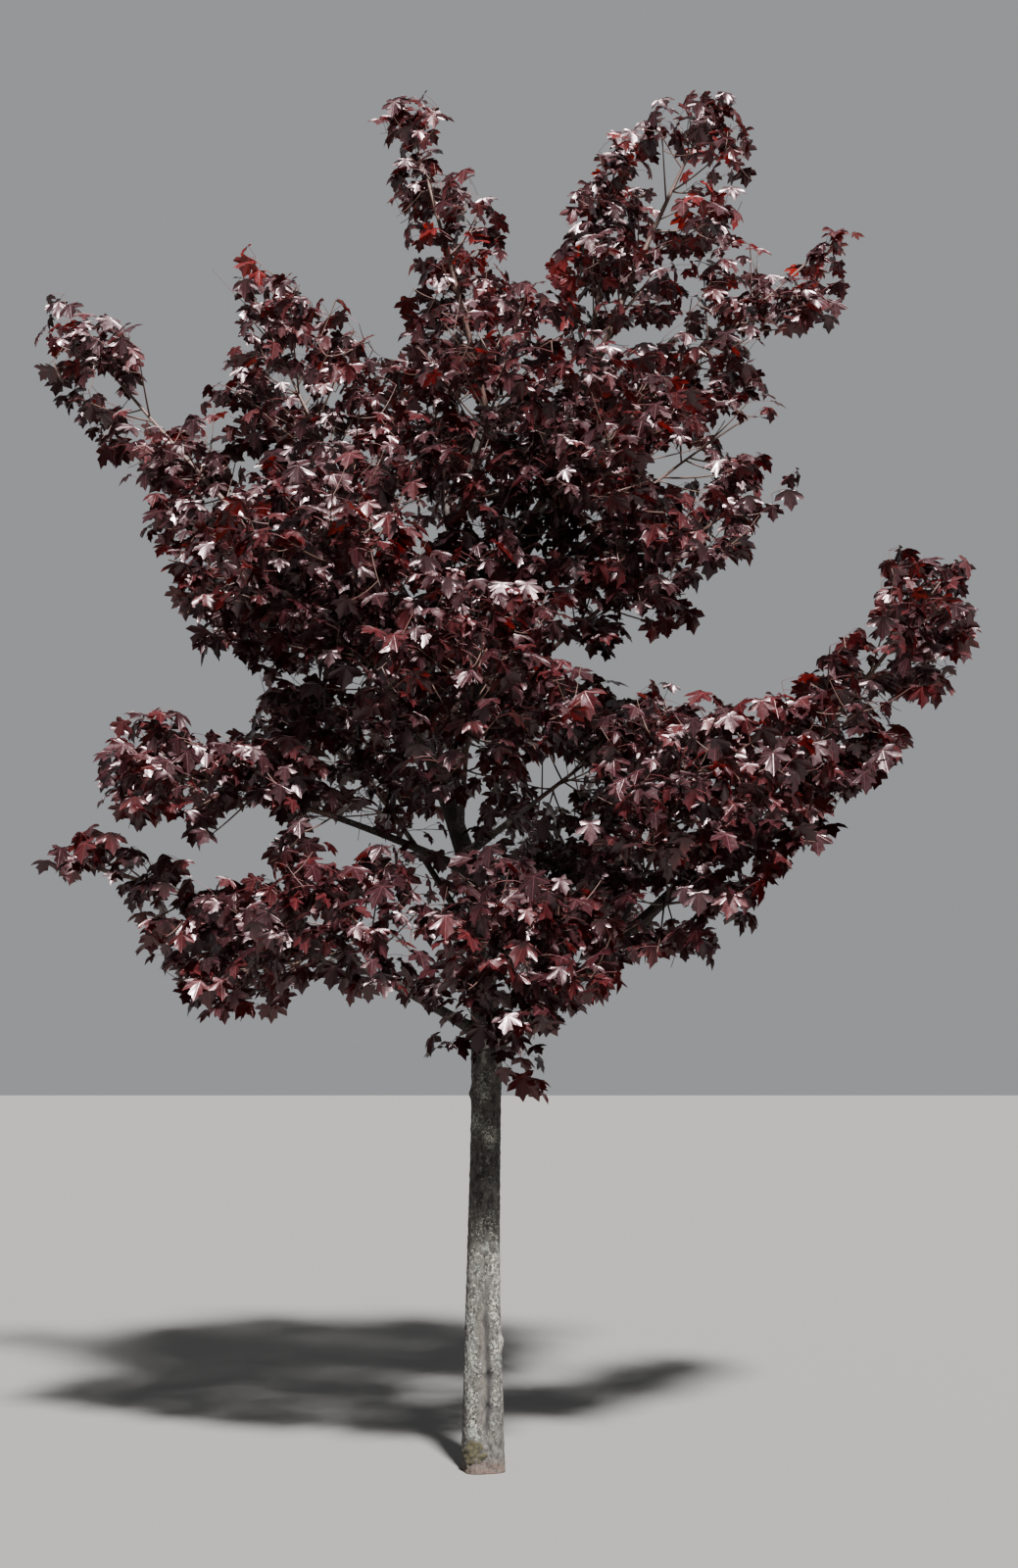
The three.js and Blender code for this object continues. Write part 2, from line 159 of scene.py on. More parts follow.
# Limbs: where each leaves its parent (a height on the trunk, a share of a bough), the bearing, distance
# and height of its furthest tip, how early it rises, its thickness, the share of it that is bare, half
# its leafy end's width and depth, and how far its middle sways aside.
limbColumns = "name on at bearing reach height rise thick bare wide deep sway".split()
limbTable = [
    ("leader", "trunk", 4190, 190, 370, 5600, 0.42, 28, 0, 320, 290, -230),
    ("top_right", "trunk", 2620, -6, 990, 5540, 0.62, 50, 0.55, 370, 320),
    ("top_inner", "top_right", 0.5, 10, 580, 5470, 0.5, 27, 0.15, 380, 300),
    ("right_shoot", "top_right", 0.36, 0, 1470, 4950, 0.5, 28, 0.25, 350, 310),
    ("right_upper", "top_right", 0.2, -4, 1170, 4200, 0.62, 28, 0.25, 410, 320),
    ("right_middle", "top_right", 0.07, -20, 1170, 3760, 0.6, 28, 0.3, 420, 300),
    ("upper_left", "trunk", 3260, 176, 1000, 4780, 0.42, 34, 0.3, 430, 420),
    ("far_left", "trunk", 2960, 180, 1770, 4630, 0.45, 38, 0.5, 340, 280),
    ("left_middle", "far_left", 0.25, 187, 1400, 3560, 0.6, 27, 0.2, 420, 380),
    ("left_inner", "trunk", 2700, 226, 1060, 3800, 0.45, 30, 0.28, 470, 430),
    ("left_shelf", "trunk", 2290, 195, 1560, 2680, 0.85, 38, 0.36, 460, 300),
    ("low_left", "trunk", 1640, 188, 1720, 2340, 0.75, 44, 0.38, 340, 260),
    ("low_left_under", "low_left", 0.36, 179, 1340, 1860, 0.9, 26, 0.1, 420, 310),
    ("low_left_front", "low_left", 0.2, 230, 980, 2200, 0.8, 27, 0.25, 420, 310),
    ("front_low", "trunk", 1760, 283, 900, 2060, 0.95, 28, 0.24, 420, 380),
    ("low_right", "trunk", 1600, -6, 1910, 3550, 0.34, 62, 0.6, 420, 330),
    ("low_right_near", "low_right", 0.26, 320, 1180, 2900, 0.5, 28, 0.24, 430, 380),
    ("low_right_under", "low_right", 0.36, 320, 1000, 2140, 1.1, 26, 0.15, 380, 320),
    ("low_right_outer", "low_right", 0.48, 344, 1480, 2660, 0.9, 26, 0.15, 400, 340),
    ("front_middle", "trunk", 2440, 270, 920, 3240, 0.5, 32, 0.26, 460, 400),
    ("front_upper", "trunk", 3520, 285, 740, 4500, 0.5, 27, 0.22, 400, 380),
    ("front_right", "top_right", 0.28, 312, 1000, 4100, 0.5, 28, 0.26, 430, 400),
    ("back_right_top", "top_right", 0.32, 48, 1060, 4500, 0.5, 28, 0.28, 400, 380),
    ("back_top", "trunk", 3640, 108, 860, 4680, 0.45, 27, 0.26, 390, 380),
    ("back_left", "trunk", 2860, 140, 1420, 3960, 0.5, 32, 0.36, 430, 380),
    ("back_middle", "trunk", 2580, 96, 1350, 3520, 0.5, 34, 0.36, 430, 380),
    ("back_right", "trunk", 2360, 58, 1350, 3100, 0.5, 34, 0.36, 450, 380),
    ("back_low_left", "trunk", 1960, 138, 1300, 3200, 0.7, 34, 0.34, 450, 320),
    ("back_low_right", "trunk", 1840, 66, 1260, 2420, 0.75, 32, 0.34, 420, 320),
    ("front_inner", "trunk", 3060, 318, 500, 3960, 0.5, 27, 0.2, 380, 330),
]
limbs = [dict(zip(limbColumns, values)) for values in limbTable]

growth = {
    "seed": 7,
    "spraySpacing": 268,
    "candidates": 14,
    "spaceFill": 0.8,
    "spaceRoundness": 3,
    "spaceShape": 6.5,
    "stemShort": (0.25, 0.65),
    "leastStem": 0.3,
    "stemMarks": 40,
    "bladeLength": 345,
    "twigSweep": 0.7,
    "firstBlade": 0.35,
    "tipShare": 0.6,
}


def trunkValue(height, column):
    last = len(trunkStations) - 1
    row = 0
    while row < last - 1 and height > trunkStations[row + 1][0]:
        row += 1
    start, stop = trunkStations[row], trunkStations[row + 1]
    before, after = trunkStations[max(row - 1, 0)], trunkStations[min(row + 2, last)]
    span = stop[0] - start[0]
    slopeStart = (stop[column] - before[column]) / (stop[0] - before[0]) * span
    slopeStop = (after[column] - start[column]) / (after[0] - start[0]) * span
    s = min(max((height - start[0]) / span, 0), 1)
    return (
        (2 * s**3 - 3 * s**2 + 1) * start[column]
        + (s**3 - 2 * s**2 + s) * slopeStart
        + (3 * s**2 - 2 * s**3) * stop[column]
        + (s**3 - s**2) * slopeStop
    )


def trunkMiddle(height):
    return np.array([trunkValue(height, 1), 0.0, height])


def growLimb(parentMiddle, row):
    bearing = radians(row["bearing"])
    start = parentMiddle(row["at"])
    tip = np.array([cos(bearing) * row["reach"], sin(bearing) * row["reach"], row["height"]])
    aside = unit(np.cross(tip - start, upward))
    knee = (start + tip) / 2 + aside * row.get("sway", 0)
    knee[2] = start[2] + (tip[2] - start[2]) * row["rise"]

    def point(t):
        return (1 - t) ** 2 * start + 2 * t * (1 - t) * knee + t**2 * tip

    steps = [point(k / 200) for k in range(201)]
    length = sum(norm(b - a) for a, b in zip(steps, steps[1:]))
    slope = unit(tip - knee)
    least, more = growth["stemShort"]
    short = growth["bladeLength"] * (least + more * hypot(*slope[:2]))
    bare = row["bare"]
    end = max(1 - short / length, bare + growth["leastStem"] * (1 - bare))

    def middle(t):
        low, high, rings = (0, bare, 3) if t < bare else (bare, end, 4)
        place = (t - low) / (high - low) * rings
        ring = min(max(int(place), 0), rings - 1)
        near, far = (point(low + (high - low) * k / rings) for k in (ring, ring + 1))
        return near + (far - near) * (place - ring)

    return {"row": row, "point": point, "middle": middle, "end": end, "length": length, "tip": tip}


def leafySpace(limb):
    row = limb["row"]
    start, tip = limb["point"](row["bare"]), limb["tip"]
    along = unit(tip - start)
    level = unit(np.cross(upward, along))
    half = max(norm(tip - start) / 2, row["deep"])
    axes = np.array([along * half, level * row["wide"], np.cross(along, level) * row["deep"]])
    volume = growth["spaceShape"] * half * row["wide"] * row["deep"]
    return {"middle": (start + tip) / 2, "axes": axes, "volume": volume}


# 0 in a space's middle and 1 at its bounds.
def spaceMeasure(space, points):
    offsets = np.atleast_2d(points) - space["middle"]
    shares = np.abs(offsets @ (space["axes"] / (space["axes"] ** 2).sum(1)[:, None]).T)
    return (shares ** growth["spaceRoundness"]).sum(1) ** (1 / growth["spaceRoundness"])


def spreadPoints(space, draw, spacing, fill, candidates):
    count = round(space["volume"] / spacing**3)
    points = []
    while len(points) < count:
        drawn = []
        for _ in range(candidates):
            point = space["middle"].copy()
            for axis in space["axes"]:
                point += axis * (2 * draw() - 1) * fill
            drawn.append(point)
        drawn = np.array(drawn)
        inside = drawn[spaceMeasure(space, drawn) < fill]
        if len(inside) == 0:
            continue
        if points:
            room = norm(inside[:, None] - np.array(points)[None], axis=2).min(1)
            points.append(inside[int(room.argmax())])
        else:
            points.append(inside[0])
    return points


parents = {"trunk": trunkMiddle}
grownLimbs = []
for limbRow in limbs:
    grownLimb = growLimb(parents[limbRow["on"]], limbRow)
    parents[limbRow["name"]] = grownLimb["middle"]
    grownLimbs.append(grownLimb)
spaces = [leafySpace(limb) for limb in grownLimbs]
print("limbs grown:", len(grownLimbs))

# Gaps between the masses: middle and half size, right and up, as the viewer sees them past the trunk.
openings = [
    (1210, 3400, 390, 190),  # right of the crown, above the long low bough
    (900, 3160, 400, 120),
    (800, 3950, 150, 100),
    (1130, 4080, 230, 80),
    (1240, 4400, 140, 120),
    (1180, 3630, 120, 80),
    (200, 5400, 340, 270),  # between the tops
    (210, 5050, 120, 260),
    (770, 5160, 50, 240),
    (1240, 5050, 120, 280),
    (-620, 5120, 230, 420),  # left of the leader
    (-440, 4700, 60, 80),
    (-390, 4870, 60, 150),
    (-510, 5460, 60, 160),
    (-140, 5330, 50, 120),
    (-1230, 4570, 210, 310),  # inside the far left bough's curve
    (-1300, 4220, 140, 110),
    (-1560, 4300, 70, 50),
    (-1420, 3480, 170, 140),
    (-1470, 3200, 310, 250),  # left of the crown, above the shelf
    (-1060, 2990, 180, 80),
    (290, 2650, 100, 120),  # between the low shelves
    (-1040, 2340, 150, 80),
    (-950, 2460, 160, 90),
    (-600, 2460, 130, 60),
    (-1300, 2440, 120, 70),
    (-40, 2770, 40, 80),
    (-990, 1510, 500, 210),  # under the crown
    (-1560, 1990, 170, 290),
    (-1320, 1800, 120, 120),
    (-400, 1640, 150, 90),
    (660, 1590, 430, 220),
    (830, 1880, 100, 70),
    (1330, 2300, 130, 100),
    (2070, 3370, 90, 240),
    (1790, 2890, 120, 90),
    (1230, 1900, 330, 220),
    (1600, 2410, 200, 240),
    (620, 1900, 90, 50),  # thin places low on the right
    (390, 1920, 40, 80),
    (710, 2170, 100, 50),
    (820, 1900, 80, 60),
    (950, 2080, 60, 40),
]

shoots = {
    "spacing": 160,  # between the ends of neighbouring shoots
    "candidates": 7,
    "fill": 0.88,
    "twigThick": (9.0, 4.6),  # a twig's foot and end
    "twigGrowth": (3, 0.02),  # a short one's foot, and more by length
    "shootThick": (4.2, 2.4),
    "arch": 0.14,
    "twigArch": 0.5,  # beside a shoot's
    "twigPoints": 7,
    "shootPoints": 6,
    "leadingBow": -30,
    "longest": 420,
    "shortest": 45,
    "stemPoints": 14,
    "stemCarry": 0.55,  # how far a stem runs on past the solid's, as a share of the rest of the limb
    "stemEndThick": 6.5,
    "tipBack": 60,  # from the limb's tip to its last shoot
    "overlap": -0.03,  # how far a mass's shoots may reach into its neighbour; below 0 leaves creases
    "twigOverlap": 0.25,  # the same for the twigs that the solids have too
    # The crown is thin where a slow noise is low: its size, the level that a shoot has to pass low down
    # and high up, and the heights between.
    "clumps": (230, -0.26, -0.08, 2700, 4300),
    "full": ("leader", "far_left", "right_shoot"),  # slim masses that aren't thinned
}

sprays = {
    "pairs": (2, 3),  # the least, and how many counts there are to draw from
    "pairSpacing": 44,
    "spread": 52,  # degrees to each side of a spray's way
    "stalk": (45, 115),
    "stalkThick": (2.2, 1.7),
    "blade": (56, 108),  # from the stalk to the tip
    "topShare": 0.86,  # how large the leaves at the top are beside those low down
    "droop": (12, 88),
    "roll": 40,
    "outward": 0.68,  # how much a spray turns to the outside of the crown
    "reach": (0.78, 1.03),  # in a mass's space, another for each spray, so that its edge is ragged
    "missing": 0.14,
    "sizeChange": 0.12,
    "redder": (0.17, 3900, 5400),  # how much redder the top is, and between which heights
    "smaller": (3300, 4600),  # between which heights the leaves become smaller
    "turn": (0.75, 0.6, 0.9),  # the first pair's share of the spread, more for each next one, and chance
    "lift": (-20, 38),
    "stalkBow": 0.12,
    "leastLength": 150,  # a shorter shoot's pairs are as far apart as on one of this length
    "lastPair": 0.3,  # how near its foot a shoot still bears leaves
    "margin": 12,  # from the tip of a leaf to the solids' bounds
}

# Long shoots that stand out of the crown's edge with one spray each: the limb, and where they end.
leadingShoots = {
    "upper_left": [(-1130, 0, 4800), (-950, 10, 4850), (-770, 20, 4740)],
    "far_left": [(-1740, 0, 4690)],
    "leader": [(-420, -20, 5440), (-270, 10, 5400)],
    "top_right": [(840, -100, 5400), (960, -90, 5420), (1110, -20, 5180)],
    "top_inner": [(480, 100, 5360), (620, 100, 5420)],
    "right_shoot": [(1450, 0, 4930)],
    "right_middle": [(1190, -100, 3850)],
    "low_right_under": [(480, -150, 1940), (400, -200, 2000)],
}


def strandCurve(start, stop, bow, count):
    knee = (start + stop) / 2 + bow
    shares = np.linspace(0, 1, count)[:, None]
    return (1 - shares) ** 2 * start + 2 * shares * (1 - shares) * knee + shares**2 * stop


def inOpening(point):
    eye = np.array(view["place"]) / mm
    reach = -eye[1] / (point[1] - eye[1])
    x = eye[0] + (point[0] - eye[0]) * reach
    z = eye[2] + (point[2] - eye[2]) * reach
    return any(((x - g[0]) / g[2]) ** 2 + ((z - g[1]) / g[3]) ** 2 < 1 for g in openings)


leafShapes = ("Flat leaf", "Cupped leaf", "Leaning leaf")
stemStrands, twigStrands, stalkStrands, leaves = [], [], [], []
lowCorner = np.array(solidBox[0]) / mm
highCorner = np.array(solidBox[1]) / mm


# A spray of leaves in pairs along the end of a shoot, each on its own stalk.
def growSpray(strand, own, draw):
    length = norm(np.diff(strand, axis=0), axis=1).sum()
    direction = unit(strand[-1] - strand[-2])
    outward = unit(strand[-1] * (1, 1, 0))
    base = unit(outward * sprays["outward"] + direction * (1, 1, 0) * (1 - sprays["outward"]))
    pairCount = sprays["pairs"][0] + int(draw() * sprays["pairs"][1])
    redder, redLow, redHigh = sprays["redder"]
    tint = draw() + redder * smoothStep(redLow, redHigh, strand[-1][2])
    spread = radians(sprays["spread"])
    reach = between(*sprays["reach"], draw())
    topSize = between(1, sprays["topShare"], smoothStep(*sprays["smaller"], strand[-1][2]))
    firstTurn, moreTurn, chance = sprays["turn"]
    margin = sprays["margin"]
    for pair in range(pairCount):
        share = 1 - pair * sprays["pairSpacing"] / max(length, sprays["leastLength"])
        if share < sprays["lastPair"]:
            break
        node = strand[min(int(share * (len(strand) - 1) + 0.5), len(strand) - 1)]
        for side in (-1, 1):
            turn = side * spread * (firstTurn + pair * moreTurn) + (draw() - 0.5) * chance
            cosine, sine = cos(turn), sin(turn)
            x, y = base[:2]
            heading = unit(np.array([x * cosine - y * sine, x * sine + y * cosine, 0]))
            stalk = between(*sprays["stalk"], draw())
            lift = radians(between(*sprays["lift"], draw()))
            root = node + stalk * (heading * cos(lift) + upward * sin(lift))
            fall = radians(between(*sprays["droop"], draw()))
            ahead = heading * cos(fall) - upward * sin(fall)
            face = heading * sin(fall) + upward * cos(fall)
            roll = radians(sprays["roll"]) * (2 * draw() - 1)
            face = face * cos(roll) + np.cross(ahead, face) * sin(roll)
            size = between(*sprays["blade"], draw()) * topSize
            form = int(draw() * len(leafShapes))
            missing = draw() < sprays["missing"]
            heart = root + ahead * size * 0.5
            tip = root + ahead * size
            inside = (lowCorner < tip - margin).all() and (tip + margin < highCorner).all()
            beyond = own is not None and spaceMeasure(own, heart)[0] > reach
            if missing or not inside or beyond or inOpening(heart):
                continue
            leaves.append((root, ahead, face, size, tint, form))
            stalkLine = strandCurve(node, root, upward * stalk * sprays["stalkBow"], 3)
            stalkStrands.append((stalkLine, sprays["stalkThick"]))


def growShoot(origin, point, bow, count, own, draw):
    strand = strandCurve(origin, point, upward * bow, count)
    twigStrands.append((strand, shoots["shootThick"]))
    growSpray(strand, own, draw)
    return strand


def inThinPart(point):
    size, levelLow, levelTop, low, top = shoots["clumps"]
    return noise.noise(Vector(point / size)) < between(levelLow, levelTop, smoothStep(low, top, point[2]))


def crowded(point, own, slack):
    others = [spaceMeasure(space, point)[0] for space in spaces if space is not own]
    return min(others) < spaceMeasure(own, point)[0] - slack


for index, limb in enumerate(grownLimbs):
    row, own = limb["row"], spaces[index]
    draw = seededRandom(growth["seed"] + index)
    coarse = spreadPoints(own, draw, growth["spraySpacing"], growth["spaceFill"], growth["candidates"])
    bare, end, markCount = row["bare"], limb["end"], growth["stemMarks"]
    marks = np.array([limb["middle"](bare + (end - bare) * k / markCount) for k in range(markCount + 1)])
    first = marks[-1] + (limb["tip"] - marks[-1]) * growth["firstBlade"]
    foot = row["thick"] * (growth["tipShare"] if bare else 1)
    stemEnd = end + shoots["stemCarry"] * (1 - end)
    shares = np.linspace(0, 1, shoots["stemPoints"])
    stem = np.array([limb["point"](bare + (stemEnd - bare) * s) for s in shares])
    stemStrands.append((stem, (foot, shoots["stemEndThick"])))
    chains = [stem]
    for point in [first, *coarse]:
        gaps = norm(marks - point, axis=1)
        nearest = int(gaps.argmin())
        back = round(growth["twigSweep"] * gaps[nearest] / norm(marks[1] - marks[0]))
        origin = marks[min(max(nearest - back, 1), markCount - 1)]
        if crowded(point, own, shoots["twigOverlap"]) or inOpening(point):
            continue
        distance = norm(point - origin)
        bow = upward * -shoots["arch"] * shoots["twigArch"] * distance
        strand = strandCurve(origin, point, bow, shoots["twigPoints"])
        thickest, thinnest = shoots["twigThick"]
        least, more = shoots["twigGrowth"]
        twigStrands.append((strand, (min(thickest, least + distance * more), thinnest)))
        chains.append(strand)
    for chain in chains:
        growSpray(chain[-3:], own, draw)
    waiting = spreadPoints(own, draw, shoots["spacing"], shoots["fill"], shoots["candidates"])
    waiting.append(limb["tip"] - shoots["tipBack"] * unit(limb["tip"] - marks[-1]))
    if row["name"] not in shoots["full"]:
        waiting = [point for point in waiting if not inThinPart(point)]
    waiting = [point for point in waiting if not inOpening(point)]
    waiting = [point for point in waiting if not crowded(point, own, shoots["overlap"])]
    places = np.concatenate([chain[1:] for chain in chains])
    starts = np.concatenate([chain[:-1] for chain in chains])
    while waiting:  # the nearest to what has grown comes next, and the others may spring from it
        gaps = norm(np.array(waiting)[:, None] - places[None], axis=2)
        chosen, nearest = np.unravel_index(int(gaps.argmin()), gaps.shape)
        point = waiting.pop(int(chosen))
        if gaps[chosen, nearest] < shoots["shortest"]:
            continue
        origin = starts[nearest] if gaps[chosen, nearest] < shoots["longest"] / 2 else places[nearest]
        bow = -shoots["arch"] * norm(point - origin)
        strand = growShoot(origin, point, bow, shoots["shootPoints"], own, draw)
        places = np.concatenate([places, strand[2:]])
        starts = np.concatenate([starts, strand[1:-1]])
    for point in leadingShoots.get(row["name"], []):
        origin = starts[int(norm(places - point, axis=1).argmin())]
        growShoot(origin, point, shoots["leadingBow"], shoots["shootPoints"], None, draw)

spurs = {
    "spacing": 115,  # along a bough's bare part
    "from": 0.28,  # of that part
    "reach": (110, 230),
    "lean": 0.5,  # how far they turn along the bough
    "tilt": 0.3,
    "lowest": 1750,  # none ends below this height
    "bough": (-14, 5),  # a shoot's bow and points there, and the same on the trunk
    "trunk": (30, 8),
    # Shoots that spring from the trunk itself: height of the foot, and the end's place.
    "onTrunk": [
        (1690, (-150, -90, 1600)),
        (1660, (150, -110, 1560)),
        (1600, (170, -60, 1440)),
        (1720, (190, -150, 1700)),
        (1770, (300, -160, 1790)),
        (1800, (-190, -170, 1860)),
        (2380, (-270, -150, 2290)),
        (2450, (-340, -170, 2430)),
        (2520, (-330, -120, 2580)),
        (2330, (120, -170, 2370)),
        (2280, (60, -190, 2480)),
    ],
}
spurDraw = seededRandom(growth["seed"] + 1000)
for limb, own in zip(grownLimbs, spaces):
    bareLength = limb["length"] * limb["row"]["bare"]
    count = int(bareLength * (1 - spurs["from"]) / spurs["spacing"])
    for k in range(count):
        t = limb["row"]["bare"] * between(spurs["from"], 1, (k + spurDraw()) / count)
        origin = limb["point"](t)
        along = unit(limb["point"](t + 0.01) - origin)
        turn = spurDraw() * 2 * pi
        side = unit(np.cross(along, np.array([cos(turn), sin(turn), spurs["tilt"]])))
        way = unit(side * (1 - spurs["lean"]) + along * spurs["lean"])
        point = origin + way * between(*spurs["reach"], spurDraw())
        if inOpening(point) or point[2] < spurs["lowest"]:
            continue
        growShoot(origin, point, *spurs["bough"], None, spurDraw)
for height, point in spurs["onTrunk"]:
    growShoot(trunkMiddle(height), point, *spurs["trunk"], None, spurDraw)
print("twigs", len(twigStrands), "leaves", len(leaves))


# Two Geometry Nodes trees make strands into round tubes and points into leaves. They start and end alike.
def startTree(name, sockets):
    tree = bpy.data.node_groups.new(name, "GeometryNodeTree")
    tree.interface.new_socket("Geometry", in_out="OUTPUT", socket_type="NodeSocketGeometry")
    for label, kind in sockets.items():
        tree.interface.new_socket(label, in_out="INPUT", socket_type="NodeSocket" + kind)
    add = partial(addNode, tree)
    return tree, add, add("NodeGroupInput")


def endTree(tree, geometry, finish):
    real = addNode(tree, "GeometryNodeRealizeInstances", {0: geometry})
    finished = addNode(tree, "GeometryNodeSetMaterial", {0: real[0], "Material": finish})
    addNode(tree, "NodeGroupOutput", {0: finished[0]})
    return tree


def strandTree():
    sockets = {"Geometry": "Geometry", "Sides": "Int", "Finish": "Material"}
    tree, add, given = startTree("strands as tubes", sockets)
    thick = add("GeometryNodeInputNamedAttribute", {"Name": "radius"}, data_type="FLOAT")[0]
    line = add("GeometryNodeMeshToCurve", {0: given["Geometry"]})[0]
    sized = add("GeometryNodeSetCurveRadius", {"Curve": line, "Radius": thick})[0]
    ring = add("GeometryNodeCurvePrimitiveCircle", {"Resolution": given["Sides"], "Radius": 1.0})[0]
    swept = {"Curve": sized, "Profile Curve": ring, "Fill Caps": True, "Scale": thick}
    return endTree(tree, add("GeometryNodeCurveToMesh", swept)[0], given["Finish"])


def applyTree(name, source, tree, values):
    carrier = addObject(name + "_source", source)
    modifier = carrier.modifiers.new("growth", "NODES")
    modifier.node_group = tree
    for item in tree.interface.items_tree:
        if item.item_type == "SOCKET" and item.in_out == "INPUT" and item.name in values:
            modifier[item.identifier] = values[item.name]
    evaluated = carrier.evaluated_get(bpy.context.evaluated_depsgraph_get())
    mesh = bpy.data.meshes.new_from_object(evaluated)
    carrier.modifiers.clear()
    bpy.data.objects.remove(carrier)
    mesh.name = name
    return addObject(name, mesh)


def strandPiece(name, strands, tree, sides, finish):
    corners, edges, radii = [], [], []
    for strand, (footThick, endThick) in strands:
        offset = len(corners)
        corners.extend(strand * mm)
        edges.extend((offset + k, offset + k + 1) for k in range(len(strand) - 1))
        radii.extend(np.linspace(footThick, endThick, len(strand)) / 2 * mm)
    mesh = newMesh(name, corners, edges)
    setAttribute(mesh, "radius", "FLOAT", radii)
    piece = applyTree(name, mesh, tree, {"Sides": sides, "Finish": finish})
    piece.data.shade_smooth()
    print(name, len(piece.data.polygons), "faces")
    return piece


# Half of a leaf's outline, from the foot of the middle vein to the tip, as shares of the length: aside,
# ahead, up, and 1 where a main vein ends.
leafOutline = [
    (0.09, -0.06, 0.02, 0),
    (0.25, -0.13, -0.02, 0),
    (0.47, -0.09, -0.12, 1),
    (0.43, 0.06, -0.02, 0),
    (0.37, 0.15, 0.05, 0),
    (0.60, 0.24, -0.05, 0),
    (0.70, 0.50, -0.13, 1),
    (0.49, 0.50, -0.03, 0),
    (0.25, 0.48, 0.05, 0),
    (0.33, 0.74, -0.04, 0),
    (0.16, 0.80, -0.05, 0),
]


# A leaf on its stalk's end: five pointed lobes that sink from the veins between them. The heart is how
# far its foot reaches back beside the stalk, below 0 for a foot that narrows to the stalk.
def leafForm(name, curl, lean, heart):
    outline = [(x, y * heart if y < 0 else y, z * curl, vein) for x, y, z, vein in leafOutline]
    points = [(0, 0.03, 0, 1)]
    points += [(x, y + lean * x * 0.1, z, vein) for x, y, z, vein in outline]
    points += [(lean * 0.05, 1.03, -0.16 * curl, 1)]
    points += [(-x, y - lean * x * 0.16, z * 0.8, vein) for x, y, z, vein in reversed(outline)]
    last = len(points) - 1
    faces = [(0, k, k + 1) for k in range(1, last)]
    faces.append((0, last, 1))
    mesh = newMesh(name, [point[:3] for point in points], faces=faces)
    setAttribute(mesh, "vein", "FLOAT", [point[3] for point in points])
    mesh.shade_smooth()
    return bpy.data.objects.new(name, mesh)


def leafTree():
    sockets = {"Geometry": "Geometry", **{shape: "Object" for shape in leafShapes}}
    sockets |= {"Size change": "Float", "Seed": "Int", "Finish": "Material"}
    tree, add, given = startTree("leaves on their stalks", sockets)
    shapes = add("GeometryNodeJoinGeometry")[0]
    for shape in reversed(leafShapes):  # the last one to be linked comes first
        source = add("GeometryNodeObjectInfo", {"Object": given[shape], "As Instance": True})
        tree.links.new(source["Geometry"], shapes.node.inputs[0])
    own = {}
    for key, kind in {"turn": "FLOAT_VECTOR", "size": "FLOAT", "form": "INT"}.items():
        own[key] = add("GeometryNodeInputNamedAttribute", {"Name": key}, data_type=kind)[0]
    least = add("ShaderNodeMath", {0: 1.0, 1: given["Size change"]}, operation="SUBTRACT")[0]
    span = {2: least, 3: 1.0, "Seed": given["Seed"]}
    change = add("FunctionNodeRandomValue", span, data_type="FLOAT")[1]
    placing = {
        "Points": given["Geometry"],
        "Instance": shapes,
        "Pick Instance": True,
        "Instance Index": own["form"],
        "Rotation": add("FunctionNodeEulerToRotation", {0: own["turn"]})[0],
        "Scale": add("ShaderNodeMath", {0: own["size"], 1: change}, operation="MULTIPLY")[0],
    }
    return endTree(tree, add("GeometryNodeInstanceOnPoints", placing)[0], given["Finish"])


def leafPiece(name, chosen, tree, forms, finish, seed):
    mesh = newMesh(name, [leaf[0] * mm for leaf in chosen])
    turns = []
    for leaf in chosen:
        ahead, face = leaf[1:3]
        aside = np.cross(ahead, face)
        turns.append(Matrix(np.array([aside, ahead, face]).T.tolist()).to_euler("XYZ"))
    setAttribute(mesh, "turn", "FLOAT_VECTOR", turns)
    setAttribute(mesh, "size", "FLOAT", [leaf[3] * mm for leaf in chosen])
    setAttribute(mesh, "form", "INT", [leaf[5] for leaf in chosen])
    values = dict(zip(leafShapes, forms))
    values |= {"Size change": sprays["sizeChange"], "Seed": seed, "Finish": finish}
    piece = applyTree(name, mesh, tree, values)
    print(name, len(chosen), "leaves", len(piece.data.polygons), "faces")
    return piece


# A material with no node yet but the one for the places on its object.
def startMaterial(name):
    material = bpy.data.materials.new(name)
    material.use_nodes = True
    material.node_tree.nodes.clear()
    add = partial(addNode, material.node_tree)
    return material, add, add("ShaderNodeTexCoord")["Object"]


leafSurface = {
    "grain": (16, 3.0),  # size of a blade's unevenness, and its detail
    "veins": (0.86, 0.97),  # how near a main vein its paler ridge begins and is full
    "relief": (0.5, 1.4),  # strength, height
    "roughness": (0.27, 0.40),
    "specular": 0.68,
    "sheen": "#ffdcdf",
    "coat": (0.22, 0.16),  # weight, roughness
}


